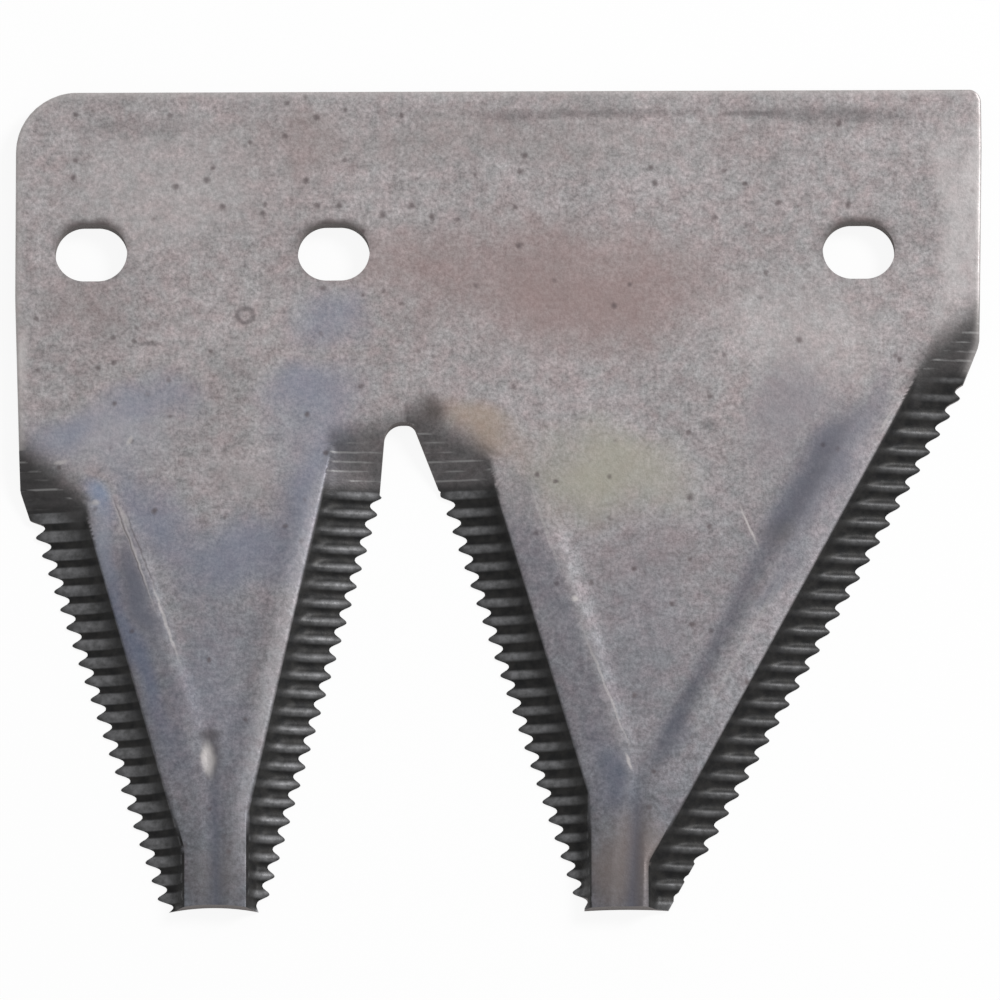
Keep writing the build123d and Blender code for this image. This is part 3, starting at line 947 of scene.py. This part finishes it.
# Place along the teeth in millimetres and how bright the steel stays there.
tip_brightness = ((-65.0, 0.38), (-50.0, 0.5), (-36.0, 0.72), (-8.0, 0.8), (8.0, 0.94), (25.0, 0.98))
reach = node(tree, "MapRange", {"Value": height_up, "From Min": tip_ramp_low * MM,
                                "From Max": tip_ramp_high * MM}).outputs[0]
tip_ramp = node(tree, "ValToRGB", {"Fac": reach})
stops = tip_ramp.color_ramp.elements
for number, (y, grey) in enumerate(tip_brightness):
    stop = stops[number] if number < 2 else stops.new(1.0)
    stop.position = (y - tip_ramp_low) / (tip_ramp_high - tip_ramp_low)
    darkened = (1.0 - grey) / darkening_range
    stop.color = [grey * (1 + change * darkened) for change in darkening_hue] + [1]
colour = node(tree, "Mix", {"Factor": 1.0, 6: colour, 7: tip_ramp.outputs[0]}, data_type="RGBA",
              blend_type="MULTIPLY").outputs[2]
print("stops of the quench", len(stops))

# %% [markdown]
# Scale that flaked off under the hammer left pits, most of them 0.3 to 1 mm wide. The
# larger ones stand where the photograph has them: the distance to the nearest of a list of
# points draws them all at once. The smaller ones are cells of a Voronoi pattern, of which
# a random half stays empty. They could be dents in the mesh, but are too shallow to shade.

# %% Pits
# Middle x and y.
pits = (
    (-67, 51.6), (-50.8, 49.9), (-45.9, 51), (-43.4, 46.6), (-37.1, 45.6), (-28.8, 61.2),
    (-30.3, 50.8), (-28.5, 46.9), (-25, 46.9), (-18.2, 45.4), (-13.8, 46.9), (-10.5, 45.1),
    (24.6, 50.4), (33.8, 44.6), (43.9, 47), (54.9, 46.6), (4.1, 54.9), (3.3, 52.1), (47.1, 24.9),
    (18, 30.6), (3.1, 40.3), (29.7, -0.2),
)
pit_radius = 0.45
small_pit_spacing = 3.0
pit_colour, pit_strength = "#54494a", 0.75
hand_drawn = wobble(2.0, 0.35)
nearest = None
for x, y in pits:
    away = node(tree, "VectorMath", {0: hand_drawn, 1: (x * MM, y * MM, 0)},
                operation="DISTANCE").outputs["Value"]
    nearest = away if nearest is None else node(
        tree, "Math", {0: nearest, 1: away}, operation="MINIMUM").outputs[0]
large_pits = node(tree, "MapRange", {
    "Value": nearest, "From Min": 1.9 * pit_radius * MM, "From Max": 0.2 * pit_radius * MM,
    "To Max": 0.9}, interpolation_type="SMOOTHSTEP").outputs[0]
cells = node(tree, "TexVoronoi", {"Vector": hand_drawn, "Scale": 1000 / small_pit_spacing,
                                  "Randomness": 1.0})
lottery = node(tree, "SeparateColor", {0: cells.outputs["Color"]}).outputs[0]
drawn = node(tree, "MapRange", {"Value": lottery, "From Min": 0.4, "From Max": 0.9, "To Max": 0.9},
             interpolation_type="SMOOTHSTEP").outputs[0]
small_pits = node(tree, "MapRange", {
    "Value": cells.outputs["Distance"], "From Min": 0.22, "From Max": 0.04, "To Max": drawn},
    interpolation_type="SMOOTHSTEP").outputs[0]
pitted = node(tree, "Math", {0: large_pits, 1: small_pits}, operation="MAXIMUM").outputs[0]
colour = lay(colour, linear(pit_colour), pitted, pit_strength)
print("large pits", len(pits))

# %% [markdown]
# The plate also carries small marks: dark streaks under the heel's edge, bright scratches
# along the ribs, rubbed spots, stains and two faint rings. In the dent a painted shadow lies round
# its rim and a painted highlight on its lit wall, and a long bright line on the right tooth's rib
# is a painted highlight as well. Curves on the surface would give sharper scratches, but at 0.3 mm
# wide a thin oval looks the same and stays in the material.

# %% Scratches, stains, rings and the dent's painted shadow and highlight
dark, grey, bright = "#4b4547", "#77716f", "#cdc8c6"
# Middle x and y, half length, half width, turn in degrees, colour, strength.
marks = (
    (54, 61.2, 18, 2.0, 0, dark, 0.4), (12, 61.6, 30, 1.1, 0, dark, 0.3),
    (2, 60.8, 7, 1.2, 0, dark, 0.25), (-55, 59.5, 14, 2.2, 0, dark, 0.2),
    (40, 61.5, 7, 0.8, 0, dark, 0.4), (-54.8, 24.7, 2.6, 0.6, 0, dark, 0.45),
    (32.6, 11.4, 2.6, 0.9, 20, dark, 0.25), (-50.3, 32.2, 3.2, 0.25, 42, bright, 0.3),
    (39, -5.2, 5.4, 0.3, 112, bright, 0.6), (43.3, -6, 4.0, 3.0, 20, grey, 0.45),
    (-68.8, 5.7, 1.6, 0.5, 10, bright, 0.5), (-57.9, 9.2, 1.2, 0.5, 60, bright, 0.5),
    (-63.3, -0.7, 1.0, 0.6, 0, bright, 0.5), (11.6, -16.3, 0.8, 0.6, 0, bright, 0.8),
    # The dark ovals near x -45 mm are painted shadow round the dent's rim, the bright one a painted
    # highlight on its lit wall.
    (19.9, -42.2, 1.9, 0.4, 108, bright, 0.6), (-45.1, -41.2, 5.8, 2.7, 94, dark, 0.6),
    (-45.2, -37.7, 2.9, 1.4, 5, dark, 0.5), (-45.5, -41.6, 3.8, 1.6, 97, bright, 0.65),
    (-58.4, -6, 9, 0.28, 112, bright, 0.3), (-57.6, -8, 11, 0.2, 110, dark, 0.55),
    (-56.8, -9.5, 12, 0.25, 109, bright, 0.3), (-56.0, -9, 10, 0.22, 110, dark, 0.45),
    (-52.2, -20, 9, 0.35, 109, bright, 0.35), (-58.8, -3, 3, 0.5, 115, bright, 0.3),
    (6.9, -4.6, 11, 0.35, 108, bright, 0.25), (16.4, -30.6, 14, 0.3, 111, bright, 0.3),
    # The long bright line at 37.5, -24.5 is a painted highlight on the lit slope of the right
    # tooth's rib.
    (60.5, 12, 3, 0.35, 61, bright, 0.3), (37.5, -24.5, 22, 0.5, 61, bright, 0.12),
)
mark_softness = 0.75
for x, y, length, width, turn, tint, strength in marks:
    away = oval(hand_drawn, x, y, length, width, turn)
    colour = lay(colour, linear(tint), away, strength, 1.0, 1.0 - mark_softness, "SMOOTHSTEP")

rings = ((-39.9, 29.2, 1.15, 0.5), (20.2, -19.8, 3.0, 0.12))  # x, y, radius, strength
ring_rim, ring_core = 0.7 * MM, 0.1 * MM
for x, y, radius, strength in rings:
    away = node(tree, "VectorMath", {0: hand_drawn, 1: (x * MM, y * MM, 0)},
                operation="DISTANCE").outputs["Value"]
    off = node(tree, "Math", {0: away, 1: radius * MM}, operation="SUBTRACT").outputs[0]
    off = node(tree, "Math", {0: off}, operation="ABSOLUTE").outputs[0]
    colour = lay(colour, linear(dark), off, strength, ring_rim, ring_core, "SMOOTHSTEP")
print("marks", len(marks), "rings", len(rings))

# %% [markdown]
# The plate is darker in a band round each slot, most of all on the side towards the heel. The
# band is the distance to the slot's outline: the plate is folded about the middle of the slot
# and its straight part taken away, and what is left is the distance to a circle.

# %% Darker round the slots
slot_band = 1.5                # width of the darker band round a slot
band_inside = 0.2
band_below, band_above = 0.1, 0.9  # its strength on the two sides of a slot
for x, (y, hole_radius, slot_length) in sorted(slot_places.items()):
    half_straight = (slot_length / 2 - hole_radius) * MM
    apart = node(tree, "VectorMath", {0: hand_drawn, 1: (x, y, 0)}, operation="SUBTRACT").outputs[0]
    apart = node(tree, "VectorMath", {0: apart}, operation="ABSOLUTE").outputs[0]
    apart = node(tree, "VectorMath", {0: apart, 1: (half_straight, 0, 0)},
                 operation="SUBTRACT").outputs[0]
    apart = node(tree, "VectorMath", {0: apart, 1: (0, 0, 0)}, operation="MAXIMUM").outputs[0]
    away = node(tree, "VectorMath", {0: apart}, operation="LENGTH").outputs["Value"]
    above = node(tree, "MapRange", {
        "Value": height_up, "From Min": y, "From Max": y + hole_radius * MM,
        "To Min": band_below, "To Max": band_above}).outputs[0]
    colour = lay(colour, linear("#4a4241"), away, above, (hole_radius + slot_band) * MM,
                 (hole_radius - band_inside) * MM, "SMOOTHSTEP")
print("slots with dirt", len(slot_places))


# %% [markdown]
# Now the marks that were kept on the points come in. Painted shade darkens the slopes beside
# the ribs, the groove along each spine and the run-outs, where the cutter only grazed the steel and
# left thin ridges.
# What stands proud is rubbed bright and carries a painted highlight. None of this reaches the
# underside.

# %% Painted shade, wear and highlights
up = node(tree, "SeparateXYZ", {0: node(tree, "NewGeometry").outputs["Normal"]}).outputs["Z"]
upper = node(tree, "MapRange", {"Value": up, "From Min": 0.1, "From Max": 0.4},
             interpolation_type="SMOOTHSTEP").outputs[0]


def kept_on_top(name):
    """A mask from the points, on upper faces only."""
    mask = node(tree, "Attribute", attribute_name=name).outputs["Fac"]
    return node(tree, "Math", {0: mask, 1: upper}, operation="MULTIPLY").outputs[0]


streak_size, streak_stretch = 1.1, 0.15  # streaks in the painted shade and in the grazed lines, long across the teeth
graze_spacing = 1.45
graze_rim, graze_core = 0.24 * MM, 0.06 * MM
# painted shade on the slopes beside the ribs and in the groove along each spine
colour = lay(colour, linear("#4a4f5f"), kept_on_top("hollow"), 0.65)
along = node(tree, "VectorMath", {0: place, 1: (streak_stretch, 1, 1)},
             operation="MULTIPLY").outputs[0]
streaks = node(tree, "TexNoise", {"Vector": along, "Scale": 1000 / streak_size,
                                  "Detail": 2.0}).outputs["Fac"]
# colour of the painted shade on the run-outs, streaked
smoke = shade(linear("#333232")[:3], streaks, 0.2, 2.0)
colour = lay(colour, smoke, kept_on_top("runout_shading"))
to_graze = node(tree, "Math", {0: height_up, 1: graze_spacing * MM / 2},
                operation="PINGPONG").outputs[0]
broken = node(tree, "MapRange", {"Value": streaks, "From Min": 0.4, "From Max": 0.6, "To Max": 0.5},
              interpolation_type="SMOOTHSTEP").outputs[0]
grazed = node(tree, "MapRange", {"Value": to_graze, "From Min": graze_rim, "From Max": graze_core,
                                 "To Max": broken}, interpolation_type="SMOOTHSTEP").outputs[0]
colour = lay(colour, linear("#a3a2a2"), kept_on_top("calm"), grazed)
# bright lines beside the ribs: worn crests and painted highlights on the slopes towards the lamp
patchy_wear = node(tree, "MapRange", {"Value": patchy, "To Min": 0.35, "To Max": 0.84}).outputs[0]
colour = lay(colour, linear("#b4b1b3"), kept_on_top("rubbed"), patchy_wear)
colour = lay(colour, linear("#c9c4c2"), kept_on_top("rim"), 0.45)
print("nodes with the wear", len(tree.nodes))

# %% [markdown]
# In the bevels the steel is black from the furnace, because nothing has touched the floor
# of the grooves. The crop rubs their ridges to a dull grey, and a painted highlight lies along
# them, strongest halfway up the bevel, so the ridges fade at both of their ends. The black could
# be a material of its own, but its soft edge over the crease needs both colours in one.

# %% Black bevels and plain side walls
along_bevel = node(tree, "Attribute", attribute_name="along_bevel").outputs["Fac"]
from_wall = node(tree, "MapRange", {"Value": along_bevel, "From Min": 0.95, "From Max": 0.35,
                                    "To Max": 0.9}, interpolation_type="SMOOTHSTEP").outputs[0]
lens = node(tree, "MapRange", {"Value": along_bevel, "From Min": -0.05, "From Max": 0.25,
                               "To Max": from_wall}, interpolation_type="SMOOTHSTEP").outputs[0]
lens = node(tree, "Math", {0: lens, 1: 0.12}, operation="ADD").outputs[0]
black = lay(linear("#181819"), linear("#2b2a29"), grain(1.5))
# grey of the ridges: rubbed steel with a painted highlight
grey_ridge = lay(linear("#59595a"), linear("#78787a"), grain(1.1, 3, 0.6))
ridge = node(tree, "Attribute", attribute_name="ridge").outputs["Fac"]
bevel = lay(black, grey_ridge, ridge, lens, 0.3, 0.9, "SMOOTHSTEP")
calm = node(tree, "Attribute", attribute_name="calm").outputs["Fac"]
colour = lay(colour, lay(bevel, colour, calm), kept_on_top("below_face"))

steepness = node(tree, "Math", {0: up}, operation="ABSOLUTE").outputs[0]
wall = node(tree, "MapRange", {"Value": steepness, "From Min": 0.5, "From Max": 0.2},
            interpolation_type="SMOOTHSTEP").outputs[0]
colour = lay(colour, linear("#85807f"), wall)
print("nodes with the bevels", len(tree.nodes))

# %% [markdown]
# Scale is half metal to the eye: it has a dull, broad gloss without clear reflections. So
# the metallic value is 0.6 and the roughness about 0.5, patchy as the colour is. Only the
# finest grain stands up as relief, because the larger clouds are flat stains. The sheared
# side walls are rough and matt, and show no gloss at all.

# %% Relief and gloss
relief = 0.05 * MM
bump = node(tree, "Bump", {"Height": speckle, "Strength": 0.3, "Distance": relief})
gloss = node(tree, "MapRange", {"Value": patchy, "To Min": 0.44, "To Max": 0.6}).outputs[0]
bare = node(tree, "MapRange", {"Value": wall, "To Min": 0.6, "To Max": 0.0}).outputs[0]
sheen = node(tree, "MapRange", {"Value": wall, "To Min": 0.5, "To Max": 0.0}).outputs[0]
shader = node(tree, "BsdfPrincipled", {
    "Base Color": colour, "Metallic": bare, "Roughness": gloss,
    "Specular IOR Level": sheen, "Normal": bump.outputs[0]})
node(tree, "OutputMaterial", {"Surface": shader.outputs[0]})
section.data.materials.clear()
section.data.materials.append(steel)
print("nodes in the steel", len(tree.nodes))

# %% [markdown]
# The plate lies on white paper. Paper in full lamp light would render grey or would need
# more light than the steel can take, so it glows almost white to the camera and in
# reflections, and a tenth of it stays real paper, which takes a faint shadow.

# %% Paper
paper_size = 6.0
paper_below = 0.2 * MM         # keeps the paper clear of the underside
paper_glow = 0.9
nothing_selected()
bpy.ops.mesh.primitive_plane_add(size=paper_size, location=(0, 0, -paper_below))
paper = bpy.context.object
paper.name = "paper"
white, tree = material("white_paper")
ray = node(tree, "LightPath")
seen = node(tree, "Math", {0: ray.outputs["Is Camera Ray"], 1: ray.outputs["Is Glossy Ray"]},
            operation="MAXIMUM")
seen = node(tree, "Math", {0: seen.outputs[0], 1: ray.outputs["Is Transmission Ray"]},
            operation="MAXIMUM")
share = node(tree, "Math", {0: seen.outputs[0], 1: paper_glow}, operation="MULTIPLY")
matt = node(tree, "BsdfDiffuse", {"Color": linear("#f2f2f2")})
glow = node(tree, "Emission", {"Color": (1, 1, 1, 1), "Strength": 1.0})
both = node(tree, "MixShader", {0: share.outputs[0], 1: matt.outputs[0], 2: glow.outputs[0]})
node(tree, "OutputMaterial", {"Surface": both.outputs[0]})
paper.data.materials.append(white)
print("paper", paper_size, "m wide")

# %% [markdown]
# The photograph was lit softly from the upper right: the walls and ribs that face there
# are light, and no shadow is sharp. One large round lamp and a bright even sky give that.
# A second lamp would flatten the ridges.

# %% Lamp and sky
lamp_place = Vector((0.9, 0.55, 0.9))
lamp_width = 0.5
lamp_watts = 14
sky_strength = 0.55

light = bpy.data.lights.new("key_lamp", "AREA")
light.shape = "DISK"
light.size = lamp_width
light.energy = lamp_watts
lamp = bpy.data.objects.new("key_lamp", light)
bpy.context.scene.collection.objects.link(lamp)
lamp.location = lamp_place
lamp.rotation_euler = (-lamp_place).to_track_quat("-Z", "Y").to_euler()

world = bpy.data.worlds.new("studio")
world.use_nodes = True
sky = world.node_tree.nodes["Background"]
sky.inputs["Color"].default_value = (1, 1, 1, 1)
sky.inputs["Strength"].default_value = sky_strength
bpy.context.scene.world = world
print("lamp at", tuple(round(v, 2) for v in lamp_place), "m")

# %% [markdown]
# Last, the colours are shown as they are written.

# %% Colour
scene = bpy.context.scene
scene.view_settings.view_transform = "Standard"
